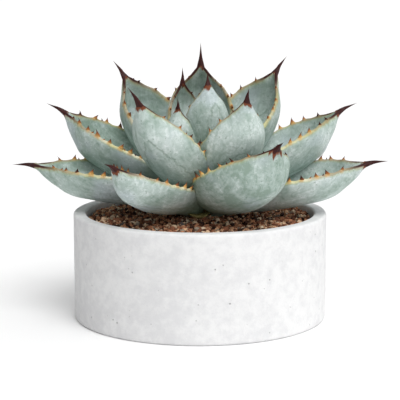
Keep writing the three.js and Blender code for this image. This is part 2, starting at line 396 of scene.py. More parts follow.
# %% [markdown]
# ## The soil
#
# A cactus mix: red-brown lava grit, dark peat and a few pale stones, banked up a little round the plant.
# A single bumpy surface would look like cloth, because light has to fall between the grains. So the soil
# is a solid bed with a rough top, and thousands of separate grains lie on it. Each grain is an icosphere
# of twenty faces, stretched, turned and with its corners moved. An operator takes longer in a large mesh,
# so the grains are made a hundred at a time and then put together.

# %% Soil sizes
soil_low, soil_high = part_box("soil")
SOIL_RADIUS, SOIL_BOTTOM, CROWN = soil_high.x, soil_low.z, soil_high.z
SOIL_TOP, MOUND_RADIUS, MOUND_SHARE = 0.0975, 0.050, 0.4
STEM_RADIUS = 0.017
print(f"soil: {SOIL_RADIUS * 2000:.0f} mm across, its crown at {CROWN * 1000:.1f} mm")


def soil_height(radius):
    mound = CROWN - SOIL_TOP
    places = [(0, CROWN), (STEM_RADIUS * 1.5, CROWN), (MOUND_RADIUS, SOIL_TOP + mound * MOUND_SHARE)]
    places.append((SOIL_RADIUS, SOIL_TOP))
    for (r0, z0), (r1, z1) in zip(places, places[1:]):
        if radius <= r1:
            return z0 + (z1 - z0) * (radius - r0) / (r1 - r0)
    return SOIL_TOP


# %% The bed
BED_ROUGHNESS, BED_ROW, BED_STEPS = 0.0016, 0.0022, 180
BED_RIM = 0.0005  # left smooth against the bowl
CLODS_PER_METRE = (260.0, 90.0)


def soil_bed():
    bm = outline_bmesh([
        (0.0, SOIL_BOTTOM, 0),
        (SOIL_RADIUS, SOIL_BOTTOM, INNER_FILLET),
        (SOIL_RADIUS, SOIL_TOP - BED_ROUGHNESS, 0),
        (0.0, SOIL_TOP - BED_ROUGHNESS, 0),
    ], closed=False)
    top_edge = [e for e in bm.edges if min(v.co.z for v in e.verts) > SOIL_TOP - 2 * BED_ROUGHNESS]
    bmesh.ops.subdivide_edges(bm, edges=top_edge, cuts=int(SOIL_RADIUS / BED_ROW))
    spin_outline(bm, BED_STEPS)
    for vertex in bm.verts:
        radius = math.hypot(vertex.co.x, vertex.co.y)
        if vertex.co.z > SOIL_TOP - 2 * BED_ROUGHNESS and radius < SOIL_RADIUS - BED_RIM:
            rough = sum(noise.noise(vertex.co * clods) for clods in CLODS_PER_METRE)
            vertex.co.z = soil_height(radius) + (rough - 1.0) * BED_ROUGHNESS
    smoothed(bm)
    return bm


# %% The grains
GRAINS, BATCH = 4800, 100
GRAIN_SIZES = (0.0009, 0.0028)
STONES, STONE_SIZES = 220, (0.0024, 0.0038)
GRAIN_DENT = 0.22  # how far a corner of a grain moves, as a share of its size


def scatter_grains(rng, count, sizes, bed):
    """Adds count grains to bed, lying on the soil's surface."""
    for start in range(0, count, BATCH):
        batch = bmesh.new()
        tints = batch.verts.layers.float.new("tint")
        for _ in range(min(BATCH, count - start)):
            size = sizes[0] + (sizes[1] - sizes[0]) * rng.random() ** 2
            radius = (SOIL_RADIUS - size * 1.2) * math.sqrt(rng.random())
            angle, tint = rng.uniform(0, math.tau), rng.random()
            low = soil_height(radius) + rng.uniform(-0.3, 0.5) * size
            shape = Matrix.Diagonal((size * rng.uniform(0.8, 1.3), size, size * rng.uniform(0.6, 0.9), 1))
            turn = Matrix.Rotation(rng.uniform(0, math.tau), 4, Vector((rng.gauss(0, 1), rng.gauss(0, 1), 1)))
            place = Matrix.Translation((radius * math.cos(angle), radius * math.sin(angle), low))
            made = bmesh.ops.create_icosphere(batch, subdivisions=1, radius=1, matrix=place @ turn @ shape)
            for vertex in made["verts"]:
                vertex.co += Vector([rng.uniform(-GRAIN_DENT, GRAIN_DENT) * size for _ in range(3)])
                vertex[tints] = tint
        part = bpy.data.meshes.new("grains")
        batch.to_mesh(part)
        batch.free()
        bed.from_mesh(part)
        bpy.data.meshes.remove(part)


def grit():
    grains = bmesh.new()
    grains.verts.layers.float.new("tint")
    rng = random.Random("grit")
    scatter_grains(rng, GRAINS, GRAIN_SIZES, grains)
    scatter_grains(rng, STONES, STONE_SIZES, grains)
    return grains


# %% Soil and grit materials
def soil_material():
    finish = Finish("damp_soil", Specular_IOR_Level=0.2, Roughness=0.95)
    crumbs = finish.noise(320.0, 4.0, 0.65)
    colour = finish.blend(finish.rise(crumbs, 0.35, 0.7), paint(34, 22, 16), paint(84, 56, 38))
    return finish.use(Base_Color=colour, Normal=finish.bump(crumbs, 0.002, 1.0))


def grit_material():
    finish = Finish("lava_grit", Specular_IOR_Level=0.25)
    tint = finish.attribute("tint")
    kinds = finish.node("ValToRGB", {"stops": [
        (0.0, paint(46, 36, 33)), (0.16, paint(88, 56, 42)), (0.38, paint(158, 104, 76)),
        (0.6, paint(198, 138, 102)), (0.8, paint(226, 184, 146)), (0.94, paint(252, 230, 200)),
        (1.0, paint(84, 78, 76)),
    ]}, {"Fac": tint})
    grime = finish.noise(700.0, 3.0, 0.7)
    colour = finish.blend(finish.rise(grime, 0.45, 0.7) * 0.45, kinds, paint(70, 46, 34))
    rough = 0.8 + grime * 0.15
    return finish.use(Base_Color=colour, Roughness=rough, Normal=finish.bump(grime, 0.0006, 0.8))


finish_piece("soil_bed", soil_bed(), soil_material(), "soil")
finish_piece("soil_grit", grit(), grit_material())

# %% [markdown]
# ## The shape of a leaf
#
# A leaf is the same sphere that any lesson starts with. Its rings of latitude are laid out one after
# another along the leaf's middle line, the first as the cut base and the last as the spine's tip, and
# each ring is bent into a cupped section: half of it is the hollow inner face, half the rounded back.
# The middle line is a quadratic curve. A few short outlines say how the width, the thickness and the
# depth of the cup change along the blade. The numbers are those of the frame, so the leaves match it.

# %% Leaf sizes
SEAT_RADIUS = 0.006
FULL_WIDTH = 0.064
SPINE_RADIUS = 0.0031
SPINE_TAPER = 1.3
SECTION_ANGLE = math.radians(75)
KEEL_SHARE, KEEL_ROUNDNESS = 0.45, 0.3
MARGIN_THICKNESS = 0.0042

HALF_WIDTHS = [
    (0, 0.6), (0.16, 0.68), (0.32, 0.87), (0.5, 1), (0.65, 0.95), (0.8, 0.71), (0.92, 0.31), (1, 0.1),
]
THICKNESSES = [(0, 0.014), (0.2, 0.0125), (0.5, 0.0095), (0.8, 0.0075), (1, 0.0062)]
CUPS = [(0, 1), (0.6, 1), (0.85, 1.25), (0.95, 1.4), (1, 0.6)]

LEAVES = {  # name: azimuth, seat, reach, rise, width, bow, swing, roll, cup, spine
    "outer_leaf_left": (183, 0.026, 0.185, 0.052, 0.067, -0.008, 0, -5, 0.84, 0.024),
    "outer_leaf_front_left": (236, 0.021, 0.155, 0.07, 0.062, 0, 0, -8, 0.84, 0.018),
    "outer_leaf_front_right": (303, 0.03, 0.139, 0.088, 0.084, 0.005, 0, 0, 0.8, 0.014),
    "outer_leaf_right": (352, 0.02, 0.1855, 0.058, 0.069, -0.006, 0, 8, 0.84, 0.024),
    "outer_leaf_back_right": (46, 0.026, 0.17, 0.055, 0.064, -0.004, 0.003, 4, 0.84, 0.024),
    "outer_leaf_back": (92, 0.026, 0.129, 0.06, 0.064, 0, -0.004, 0, 0.84, 0.022),
    "outer_leaf_back_left": (137, 0.026, 0.17, 0.055, 0.064, -0.004, -0.003, -4, 0.84, 0.024),
    "middle_leaf_left": (167, 0.036, 0.159, 0.108, 0.072, -0.003, 0, -2, 0.9, 0.024),
    "middle_leaf_front_left": (236, 0.034, 0.119, 0.137, 0.065, 0.007, 0.01, 0, 0.72, 0.023),
    "middle_leaf_front_right": (300, 0.034, 0.091, 0.134, 0.064, 0.009, 0.002, 0, 0.8, 0.016),
    "middle_leaf_right": (11, 0.036, 0.161, 0.109, 0.074, -0.003, 0, 1, 0.9, 0.024),
    "middle_leaf_back_right": (68, 0.036, 0.124, 0.09, 0.062, 0.004, 0, 0, 0.84, 0.023),
    "middle_leaf_back_left": (114, 0.036, 0.124, 0.09, 0.062, 0.004, 0, 0, 0.84, 0.023),
    "upper_leaf_left": (143, 0.042, 0.112, 0.149, 0.061, -0.002, 0, -14, 1.25, 0.025),
    "upper_leaf_right": (39, 0.042, 0.115, 0.153, 0.061, -0.002, 0, 14, 1.25, 0.025),
    "upper_leaf_back": (89, 0.044, 0.042, 0.169, 0.064, 0.008, 0, 0, 0.84, 0.026),
    "inner_leaf_front": (287, 0.046, 0.025, 0.144, 0.043, 0.006, 0, 0, 0.84, 0.013),
    "inner_leaf_front_left": (231, 0.048, 0.034, 0.119, 0.038, 0.006, 0, 0, 0.84, 0.011),
    "inner_leaf_back_left": (122, 0.048, 0.033, 0.145, 0.04, 0.006, 0, 0, 0.84, 0.017),
    "inner_leaf_right": (15, 0.048, 0.038, 0.097, 0.034, 0.006, 0, 0, 0.84, 0.015),
}
print("leaves:", len(LEAVES))

# How far each leaf is painted darker, from 0 to 1: partly its pale bloom rubbed off, partly painted shade on
# leaves turned away from the light.
WEAR_AND_SHADE = {
    "outer_leaf_left": 0.7, "outer_leaf_front_left": 0.5, "outer_leaf_front_right": 1.0,
    "middle_leaf_left": 0.6, "inner_leaf_front": 0.6, "upper_leaf_back": 0.5, "outer_leaf_back": 0.8,
    "middle_leaf_back_left": 0.5,
}


# %% Smooth outlines
def along(outline, place):
    """The value of an outline at a place along it, on a smooth line through its points."""
    last = len(outline) - 1
    i = next((k for k in range(last) if place <= outline[k + 1][0]), last - 1)

    def slope(k):
        before, after = outline[max(k - 1, 0)], outline[min(k + 1, last)]
        return (after[1] - before[1]) / (after[0] - before[0])

    (x0, y0), (x1, y1) = outline[i], outline[i + 1]
    t = (place - x0) / (x1 - x0)
    s = 1 - t
    ends = y0 * (1 + 2 * t) * s * s + y1 * (1 + 2 * s) * t * t
    slopes = slope(i) * t * s * s - slope(i + 1) * t * t * s
    return max(ends + slopes * (x1 - x0), 0.0)


def smoothstep(value, low, high):
    t = min(max((value - low) / (high - low), 0.0), 1.0)
    return t * t * (3 - 2 * t)


# %% The middle line of a leaf
class MiddleLine:
    """A quadratic curve from inside the stem to the tip of the spine, measured along its length."""

    STEPS = 400

    def __init__(self, azimuth, seat, reach, rise, bow, swing):
        angle = math.radians(azimuth)
        self.outwards = Vector((math.cos(angle), math.sin(angle), 0))
        self.sideways = Vector((-math.sin(angle), math.cos(angle), 0))
        dr, dz = reach - SEAT_RADIUS, rise - seat
        belly = 2 * bow / math.hypot(dr, dz)
        self.start = self.point(SEAT_RADIUS, seat)
        self.control = self.point(SEAT_RADIUS + dr / 2 + dz * belly, seat + dz / 2 - dr * belly)
        self.control += self.sideways * 2 * swing
        self.end = self.point(reach, rise)
        self.lengths = [0.0]
        for i in range(self.STEPS):
            step = self.at((i + 1) / self.STEPS) - self.at(i / self.STEPS)
            self.lengths.append(self.lengths[-1] + step.length)
        self.length = self.lengths[-1]

    def point(self, radius, height):
        return self.outwards * radius + Vector((0, 0, CROWN + height))

    def at(self, t):
        return self.start * (1 - t) ** 2 + self.control * 2 * t * (1 - t) + self.end * t * t

    def share(self, place):
        """The curve's own parameter at a share of its length."""
        wanted = place * self.length
        i = next((k for k in range(self.STEPS) if self.lengths[k + 1] >= wanted), self.STEPS - 1)
        step = self.lengths[i + 1] - self.lengths[i]
        return (i + min(max((wanted - self.lengths[i]) / step, 0.0), 1.0)) / self.STEPS

    def forwards(self, t):
        return ((self.control - self.start) * (1 - t) + (self.end - self.control) * t).normalized()


# %% [markdown]
# ## Teeth
#
# Along both margins stand horny teeth, one every 12 to 16 millimetres, each on a small hump of the leaf.
# A tooth is again a sphere whose rings become sections: wide and flat where it sits, quickly narrower,
# and bent a little. Hundreds of them are made, so each has only a few dozen faces. They are part of their
# leaf, which grew as one piece, so they go into the leaf's own bmesh.
#
# Several numbers are kept on every point for the material to read: how far the point is from the margin,
# how near it is to a tooth, how far it is up a tooth or along the spine, how far it is from the print that
# a neighbour left, whether it is on the inner face, and its place on the blade in metres. Named layers on
# the bmesh hold them, and they become attributes of the mesh.

# %% Numbers kept on the points
LAYERS = ("margin", "near_tooth", "horn", "spine", "print", "inner", "tint", "wear")


class LeafMesh:
    """A bmesh with the layers that the leaf's material reads."""

    def __init__(self):
        self.bm = bmesh.new()
        self.layers = {name: self.bm.verts.layers.float.new(name) for name in LAYERS}
        self.blade = self.bm.verts.layers.float_vector.new("blade")

    def keep(self, vertex, blade=(0, 0, 0), **values):
        for name, value in values.items():
            vertex[self.layers[name]] = value
        vertex[self.blade] = blade

    def sphere(self, around, rows):
        """A sphere's vertices, each with the row it is in and its turn round the axis."""
        made = bmesh.ops.create_uvsphere(self.bm, u_segments=around, v_segments=rows, radius=1.0)["verts"]
        for vertex in made:
            row = round(math.acos(min(max(vertex.co.z, -1.0), 1.0)) / math.pi * rows)
            yield vertex, row, math.atan2(vertex.co.y, vertex.co.x)

    def face_outwards(self):
        """Bending a sphere into a leaf can turn it inside out, so its faces are turned outwards again."""
        bmesh.ops.recalc_face_normals(self.bm, faces=self.bm.faces)


# %% One tooth
TOOTH_AROUND, TOOTH_ROWS = 7, 5
TOOTH_TAPER, TOOTH_LENGTH, TOOTH_THICKNESS = 1.4, 0.52, 0.26  # the last two are shares of its height
HORN_FOOT = 0.15  # how horny a tooth is at its foot, from 0 to 1


def add_tooth(leaf_mesh, base, out, ahead, height, lean, values):
    """A tooth on the margin at base, standing towards out and leaning towards ahead."""
    flat = out.cross(ahead).normalized()
    for vertex, row, turn in leaf_mesh.sphere(TOOTH_AROUND, TOOTH_ROWS):
        up = row / TOOTH_ROWS
        width = height * (1 - up) ** TOOTH_TAPER
        ring = ahead * math.cos(turn) * TOOTH_LENGTH * width + flat * math.sin(turn) * TOOTH_THICKNESS * width
        if row == 0:
            ring = Vector()
        rise = out * (up * height) + ahead * (lean * height * up * up)
        vertex.co = base + rise + ring
        leaf_mesh.keep(vertex, horn=HORN_FOOT + (1 - HORN_FOOT) * up, **values)


# %% [markdown]
# ## The whole leaf
#
# The teeth are placed first, because the margin swells under each of them. Their spacing and their height
# wander a little, from a seed made of the leaf's own name, so a rerun gives the same plant.

# %% Where the teeth stand
FIRST_TOOTH, LAST_TOOTH = (0.22, 0.27), 0.93
TOOTH_HEIGHTS, TOOTH_LEANS, TOOTH_SPACINGS = (0.0046, 0.0071), (-0.35, 0.75), (0.0100, 0.0150)
SMALL_TOOTH_CHANCE, SMALL_TOOTH_PLACES = 0.25, (0.4, 0.6)
SMALL_TOOTH_HEIGHTS, SMALL_TOOTH_LEANS = (0.0018, 0.0028), (-0.5, 0.9)


def tooth_places(rng, blade_length):
    """Places along one margin as shares of the blade, with a height and a lean for each."""
    place, teeth = rng.uniform(*FIRST_TOOTH), []
    while place < LAST_TOOTH:
        size = math.sin(math.pi * min(max((place - 0.05) / 0.95, 0.0), 1.0)) ** 0.4
        teeth.append((place, size * rng.uniform(*TOOTH_HEIGHTS), rng.uniform(*TOOTH_LEANS)))
        step = rng.uniform(*TOOTH_SPACINGS) / blade_length
        if rng.random() < SMALL_TOOTH_CHANCE:
            between = place + step * rng.uniform(*SMALL_TOOTH_PLACES)
            teeth.append((between, rng.uniform(*SMALL_TOOTH_HEIGHTS), rng.uniform(*SMALL_TOOTH_LEANS)))
        place += step
    return teeth


# %% A leaf's section
def section_point(across, half_width, cup, off):
    """A point of the cupped and keeled section, and the section's direction there.

    across runs from margin to margin, and off is how far the point lies from the section's middle line.
    """
    turn, rise = across * SECTION_ANGLE, 1 - math.cos(SECTION_ANGLE)
    at_margin, at_place = math.hypot(1, KEEL_ROUNDNESS), math.hypot(across, KEEL_ROUNDNESS)
    arc = (math.cos(turn) - math.cos(SECTION_ANGLE)) / rise
    vee = (at_margin - at_place) / (at_margin - KEEL_ROUNDNESS)
    depth = arc + (vee - arc) * KEEL_SHARE
    arc_slope = -SECTION_ANGLE * math.sin(turn) / rise
    vee_slope = -across / at_place / (at_margin - KEEL_ROUNDNESS)
    depth_slope = arc_slope + (vee_slope - arc_slope) * KEEL_SHARE
    stretch = half_width / math.sin(SECTION_ANGLE)
    tangent = Vector((stretch * SECTION_ANGLE * math.cos(turn), -cup * depth_slope)).normalized()
    return Vector((stretch * math.sin(turn), -cup * depth)) + Vector((-tangent.y, tangent.x)) * off, tangent


class LeafForm:
    """Everything about one leaf's shape that its points ask for."""

    def __init__(self, azimuth, seat, reach, rise, width, bow, swing, roll, cup, spine):
        self.line = MiddleLine(azimuth, seat, reach, rise, bow, swing)
        self.width, self.roll, self.cup, self.spine_length = width, math.radians(roll), cup, spine
        self.size = width / FULL_WIDTH
        self.blade_share = 1 - spine / self.line.length
        self.blade_length = self.line.length - spine
        self.spine_radius = SPINE_RADIUS * math.sqrt(self.size)

    def half_width(self, on_blade, on_spine):
        if on_spine > 0:
            return self.spine_radius * (1 - on_spine) ** SPINE_TAPER
        return max(along(HALF_WIDTHS, on_blade) * self.width / 2, self.spine_radius)

    def half_thickness(self, on_blade, half_width, across):
        """Half the leaf's thickness there: a blunt rounded margin, and fuller towards the middle."""
        whole = min(along(THICKNESSES, on_blade) * self.size, 1.9 * half_width)
        edge = min(MARGIN_THICKNESS * self.size ** 0.5, whole)
        inwards = min((1 - abs(across)) * half_width / (edge / 2), 1.0) if edge > 0 else 1.0
        rounded = math.sqrt(max(1 - (1 - inwards) ** 2, 0.0))
        return 0.5 * edge * rounded + 0.5 * (whole - edge) * (1 - across * across)

    def frame_at(self, place):
        """The middle line's point there, and the leaf's sideways, upwards and forwards directions."""
        t = self.line.share(place)
        forwards = self.line.forwards(t)
        turn = Matrix.Rotation(self.roll * smoothstep(place, 0.0, 0.7), 3, forwards)
        upwards = forwards.cross(self.line.sideways).normalized()
        return self.line.at(t), turn @ self.line.sideways, turn @ upwards, forwards


# %% [markdown]
# ## Leaves that fit round each other
#
# In the plant each leaf grew against those nearer the heart, so no blade passes through another. A boolean
# cut would do that, but it is slow and leaves ragged edges. Here the blades are made from the heart
# outwards. Before a blade is made, each of its rows is followed from the middle towards either margin by
# short rays. A row may press into the back of a blade that is already there, and it ends inside, just
# before it would come out again. So the two close up with no slit, as leaves do that grew together.

# %% The blades made so far
RAY_STEP = 0.00001  # how far past a face the next ray starts


class Rosette:
    """The surfaces of the blades made so far, for rays to test."""

    def __init__(self):
        self.points, self.faces, self.cupped, self.owners = [], [], [], []
        self.tree = BVHTree.FromPolygons(self.points, self.faces)

    def add(self, made, owner):
        first = len(self.points)
        made.bm.verts.index_update()
        self.points += [vertex.co.copy() for vertex in made.bm.verts]
        for face in made.bm.faces:
            self.faces.append([first + vertex.index for vertex in face.verts])
            self.cupped.append(sum(v[made.layers["inner"]] for v in face.verts) > len(face.verts) / 2)
            self.owners.append(owner)
        self.tree = BVHTree.FromPolygons(self.points, self.faces)

    def free_share(self, a, b, own=None):
        """How much of the way from a to b is free, from 0 to 1.

        A leaf may press into the back of a blade, where its edge is hidden, but it may not come out of the
        blade again, nor go in or out through its cup. Its own surface is no bar.
        """
        heading, length = (b - a).normalized(), (b - a).length
        gone = 0.0
        while gone < length:
            hit, normal, index, distance = self.tree.ray_cast(a + heading * gone, heading, length - gone)
            if hit is None:
                return 1.0
            gone += distance + RAY_STEP
            if self.owners[index] != own and (heading.dot(normal) > 0 or self.cupped[index]):
                return gone / length
        return 1.0


# %% Rows of a blade, and how far each may reach
BLADE_ROWS, SPINE_ROWS, AROUND = 104, 16, 44
PROBES, CLEARANCE, LEAST_REACH = 10, 0.0006, 0.03
HUMP_HEIGHT, HUMP_LENGTH = 0.0015, 0.0038
UNTOUCHED = 0.97  # a row that reaches this share of its width keeps its margin and teeth


class Row:
    """One cross-section of a leaf, in space."""

    def __init__(self, form, number):
        self.on_blade = min(max((number - 1) / BLADE_ROWS, 0.0), 1.0)
        self.on_spine = max(number - 1 - BLADE_ROWS, 0) / SPINE_ROWS
        self.half_width = form.half_width(self.on_blade, self.on_spine)
        flatter = 1 - smoothstep(self.on_spine, 0.0, 0.5)
        self.cup = along(CUPS, self.on_blade) * form.cup * self.half_width * flatter
        place = self.on_blade * form.blade_share + self.on_spine * (1 - form.blade_share)
        self.centre, self.sideways, self.upwards, self.forwards = form.frame_at(place)
        self.reach = {-1: 1.0, 1: 1.0}

    def point(self, across, off, beyond=0.0):
        section, tangent = section_point(across, self.half_width, self.cup, off)
        section += tangent * beyond
        return self.centre + self.sideways * section.x + self.upwards * section.y

    def find_reach(self, rosette):
        for side in (-1, 1):
            places = [self.point(side * i / PROBES, 0.0) for i in range(PROBES)]
            places.append(self.point(side, 0.0, side * HUMP_HEIGHT))
            for i, (a, b) in enumerate(zip(places, places[1:])):
                free = rosette.free_share(a, b)
                if free < 1:
                    reach = (i + free) / PROBES - CLEARANCE / self.half_width
                    self.reach[side] = max(reach, LEAST_REACH)
                    break


def smooth_reaches(rows):
    """Lets each row reach no further than its neighbours do, so that a cut edge runs smoothly."""
    around_row = [slice(max(i - 2, 0), i + 3) for i in range(len(rows))]
    for side in (-1, 1):
        reaches = [row.reach[side] for row in rows]
        least = [min(reaches[near]) for near in around_row]
        for i, row in enumerate(rows):
            around = least[around_row[i]]
            row.reach[side] = min(sum(around) / len(around), reaches[i])


# %% The print of a neighbour
PRINT_PLACE, PRINT_SCALLOP, PRINT_PITCH = 0.58, 0.035, 0.0125
NO_PRINT = 0.02  # a distance at which nothing of a print shows


def print_distance(across, on_blade, length, tint):
    """How far a point is from the toothed line that a neighbour pressed into the leaf in the bud."""
    line = PRINT_PLACE * math.sqrt(max(1.02 - (on_blade / (0.62 + 0.25 * tint)) ** 2, 0.0))
    line += PRINT_SCALLOP * abs(math.sin(math.pi * length / PRINT_PITCH)) - 0.15 * tint
    return abs(across - 0.25 * (tint - 0.5)) - line


# %% One leaf
DENT_DEPTH, DENT_PITCH = 0.0009, 0.022
FULL_TOOTH = 0.006
TOOTH_SUNK, TOOTH_EXTRA = 0.0022, 0.0012  # how deep a tooth is sunk in its hump, and its height for that
WELL_INSIDE, JUST_INSIDE = 0.7, 0.98


class Leaf:
    """A leaf of the plant: its form, its rows, the places of its teeth and its mesh."""

    def __init__(self, name, numbers, rosette):
        self.name, self.form, self.rng = name, LeafForm(*numbers), random.Random(name)
        self.tint = self.rng.random()
        self.teeth = {side: tooth_places(self.rng, self.form.blade_length) for side in (-1, 1)}
        self.rows = [Row(self.form, number) for number in range(BLADE_ROWS + SPINE_ROWS + 2)]
        for row in self.rows[:BLADE_ROWS]:
            row.find_reach(rosette)
        smooth_reaches(self.rows)
        self.mesh = LeafMesh()
        last = len(self.rows) - 1
        for vertex, number, turn in self.mesh.sphere(AROUND, last):
            across = 0.0 if number in (0, last) else math.cos(turn)
            self.shape(vertex, self.rows[number], across, math.sin(turn))
        self.mesh.face_outwards()
        rosette.add(self.mesh, name)

    def near_tooth(self, row, side):
        """1 beside a tooth, falling to 0 between two."""
        near = 0.0
        for place, height, _ in self.teeth[side]:
            away = (row.on_blade - place) * self.form.blade_length / HUMP_LENGTH
            near = max(near, math.exp(-away * away) * height / FULL_TOOTH)
        return near

    def shape(self, vertex, row, across, face):
        """Moves a point of the sphere to its place on the leaf, and keeps its numbers."""
        side = 1 if across > 0 else -1
        reach, length = row.reach[side], row.on_blade * self.form.blade_length
        near = self.near_tooth(row, side) if reach > UNTOUCHED else 0.0
        at_margin = abs(face) < 1e-6
        off = 0.0 if at_margin else self.form.half_thickness(row.on_blade, row.half_width, across)
        off = math.copysign(off, face)
        hump = 0.0
        if row.on_spine == 0:
            dent = noise.noise(Vector((across * row.half_width, length, self.tint)) / DENT_PITCH)
            off += dent * DENT_DEPTH * (1 - abs(across))
            hump = smoothstep(abs(across), 0.75, 1.0) * near * HUMP_HEIGHT
        vertex.co = row.point(across * reach, off, hump * side)
        self.mesh.keep(
            vertex,
            blade=(across * row.half_width, length, self.tint),
            margin=((1 - abs(across)) * 1.3 + (1 - reach)) * row.half_width,
            near_tooth=near,
            spine=row.on_spine * self.form.spine_length + length - self.form.blade_length,
            print=print_distance(across, row.on_blade, length, self.tint) * row.half_width,
            inner=1.0 if face > 0 else 0.0,
            tint=self.tint,
            wear=WEAR_AND_SHADE.get(self.name, 0.0),
        )

    def add_teeth(self, rosette):
        """Stands the teeth on both margins, but none that would be buried in another leaf."""
        for side in (-1, 1):
            for place, height, lean in self.teeth[side]:
                row = self.rows[round(place * BLADE_ROWS) + 1]
                if row.reach[side] < UNTOUCHED:
                    continue
                edge = row.point(side, 0.0)
                out = (edge - row.point(side * JUST_INSIDE, 0.0)).normalized()
                tall = height * self.form.size ** 0.5 + TOOTH_EXTRA
                tip = edge + out * tall + row.forwards * lean * tall
                start = row.point(side * WELL_INSIDE, 0.0)
                if rosette.free_share(start, tip + out * CLEARANCE, self.name) < 1:
                    continue
                values = {"tint": self.rng.random(), "near_tooth": 1.0, "print": NO_PRINT}
                values["spine"] = (place - 1) * self.form.blade_length
                base = edge + out * (HUMP_HEIGHT - TOOTH_SUNK)
                add_tooth(self.mesh, base, out, row.forwards, tall, lean, values)


# %% [markdown]
# ## The skin of a leaf
#
# The skin is green under a waxy bloom. The bloom gives the blue-grey colour, and it is uneven: thicker in
# clouds, rubbed off in flecks and along streaks, and printed with faint toothed lines where the leaf lay
# against its neighbours in the bud. The margin is a pale cream-green cord. Teeth go from cream through
# orange to brown, and the spine is a dark, slightly glossy maroon that runs down the margins as a line.
# The colours are laid over each other in that order, each through a mask worked out from noise and from
# the numbers kept on the points.

# %% Leaf skin
def leaf_skin():
    finish = Finish("leaf_skin", Specular_IOR_Level=0.15)
    blade = finish.attribute("blade", "Vector")
    length = finish.node("SeparateXYZ", {}, {"Vector": blade}, output=1)
    margin, near_tooth, horn, spine, pressed, inner, tint, wear = map(finish.attribute, LAYERS)

    clouds = finish.noise(34.0, 4.0, 0.55)
    patches = finish.noise(130.0, 5.0, 0.62, distortion=0.8)
    streaks = finish.noise(1.0, 3.0, 0.6, at=finish.place((420.0, 40.0, 30.0), of=blade))
    flecks = finish.noise(430.0, 3.0, 0.65)
    bloom = clouds * 0.45 + patches * 0.4 + streaks * 0.2 + (tint - 0.5) * 0.04
    foot = finish.rise(length, 0.06, 0.01)
    # Some whole leaves are painted darker here: partly their bloom rubbed off, partly painted shade on leaves
    # turned away from the light.
    skin = finish.node("ValToRGB", {"stops": [
        (0.40, paint(138, 157, 145)), (0.49, paint(168, 184, 177)), (0.57, paint(190, 203, 198)),
        (0.66, paint(213, 221, 219)),
    ]}, {"Fac": bloom - foot * 0.06 - wear * 0.06 - inner * 0.02})
    lavender = finish.rise(finish.noise(22.0, 2.0, 0.5), 0.52, 0.68)
    skin = finish.blend(lavender * 0.45, skin, paint(186, 195, 204))
    rubbed = finish.rise(flecks, 0.55, 0.66) * finish.rise(patches, 0.46, 0.58)
    skin = finish.blend(rubbed * 0.6, skin, paint(112, 134, 120))
    veins = finish.rise((patches - 0.5).size(), 0.016, 0.0) * finish.rise(clouds, 0.44, 0.56)
    skin = finish.blend(veins * 0.24, skin, paint(122, 142, 126))
    printed = finish.rise((pressed + (patches - 0.5) * 0.004).size(), 0.0011, 0.0002)
    skin = finish.blend(printed * finish.rise(streaks, 0.3, 0.5) * 0.5, skin, paint(118, 138, 122))
    chalk = finish.rise(flecks, 0.43, 0.34) * finish.rise(clouds, 0.42, 0.58)
    skin = finish.blend(chalk * 0.42, skin, paint(226, 232, 231))
    skin = finish.blend(foot * 0.5, skin, paint(128, 150, 118))

    frayed = margin + (patches - 0.5) * 0.0034 + (flecks - 0.5) * 0.0012
    green_line = finish.rise(frayed, 0.0034, 0.0014)
    skin = finish.blend(green_line * 0.45, skin, paint(156, 170, 122))
    cord_edge = finish.rise(frayed, 0.0019, 0.0008)
    cord = finish.blend(finish.rise(clouds, 0.42, 0.6), paint(200, 197, 146), paint(228, 225, 196))
    cord = finish.blend(finish.rise(flecks, 0.54, 0.62) * 0.4, cord, paint(176, 132, 84))
    near_tip = finish.rise(spine + (clouds - 0.5) * 0.08, -0.065, -0.020)
    cord = finish.blend(near_tip * 0.7, cord, paint(112, 88, 72))
    skin = finish.blend(cord_edge * 0.9, skin, cord)
    seat = finish.rise(near_tooth, 0.45, 0.95) * finish.rise(margin, 0.0030, 0.0008)
    skin = finish.blend(seat * 0.7, skin, paint(202, 156, 92))
    tooth = finish.node("ValToRGB", {"stops": [
        (0.0, paint(228, 216, 164)), (0.42, paint(214, 168, 98)), (0.68, paint(152, 94, 56)),
        (1.0, paint(62, 38, 32)),
    ]}, {"Fac": horn + finish.rise(tint, 0.5, 0.95) * 0.4 + near_tip * 0.2})
    on_tooth = finish.rise(horn, 0.02, 0.12)
    skin = finish.blend(on_tooth, skin, tooth)

    ragged = spine + (streaks - 0.5) * 0.006 + (patches - 0.5) * 0.004
    run_down = finish.rise(ragged, -0.020, -0.006) * finish.rise(margin, 0.0013, 0.0005)
    amber = finish.rise(ragged + (streaks - 0.5) * 0.012, -0.0024, -0.0006)
    dark = finish.rise(ragged, 0.0002, 0.0014).most(run_down)
    skin = finish.blend(amber, skin, paint(112, 62, 40))
    shell = finish.blend(streaks, paint(36, 15, 16), paint(70, 32, 28))
    shell = finish.blend(finish.rise(spine, 0.014, 0.024) * 0.5, shell, paint(112, 96, 92))
    skin = finish.blend(dark, skin, shell)

    rough = 0.64 - dark.most(on_tooth) * 0.22
    relief = flecks * 0.35 + streaks * 0.6 + patches * 0.7 - printed * 0.5
    return finish.use(Base_Color=skin, Roughness=rough, Normal=finish.bump(relief, 0.0006, 0.6))


skin_material = leaf_skin()
print("material:", skin_material.name)

# %% Make all the leaves
rosette = Rosette()
leaves = [Leaf(leaf_name, LEAVES[leaf_name], rosette) for leaf_name in reversed(LEAVES)]
for leaf in leaves:
    leaf.add_teeth(rosette)
    leaf.mesh.face_outwards()
    smoothed(leaf.mesh.bm)
    finish_piece(leaf.name + "_skin", leaf.mesh.bm, skin_material, leaf.name)

# %% [markdown]
# ## The bud
#
# In the heart of the rosette the youngest leaves are still wrapped round each other in a pointed spindle.
# It is the same sphere again, its rings following the spindle's outline. Each ring is pushed out by a
# sawtooth that turns as it climbs, so the edges of the wrapped leaves wind round it. It takes the skin of
# the leaves, and its numbers tell that skin where an edge is and where the spine begins.

